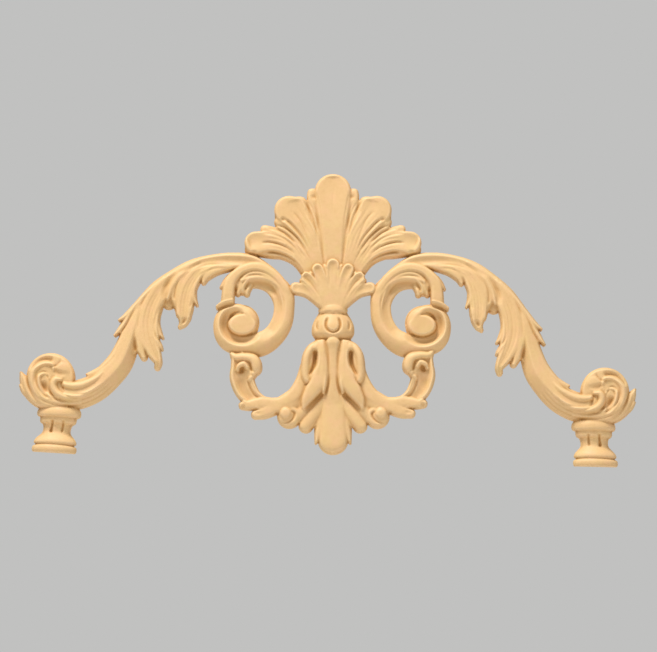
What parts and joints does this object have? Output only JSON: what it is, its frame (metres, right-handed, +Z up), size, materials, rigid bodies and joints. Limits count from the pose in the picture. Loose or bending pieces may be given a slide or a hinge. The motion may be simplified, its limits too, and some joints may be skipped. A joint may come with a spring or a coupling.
{
  "type": "flexible wood frieze",
  "caption": "Moulded wood frieze with a shell crest on two C-scrolls, and leafy arms ending in a volute and a short turned foot at each side.",
  "frame": {"origin": "on the flat back, behind the knot under the shell", "axes": "+Z up, +X to the viewer's right, the carving faces -Y and the flat back faces +Y"},
  "size_m": [0.6141, 0.0204, 0.2944],
  "materials": {
    "moulded_wood": "smooth unfinished moulded wood composite, pale tan"
  },
  "bodies": {
    "root": {"frieze": "moulded_wood"}
  },
  "joints": []
}
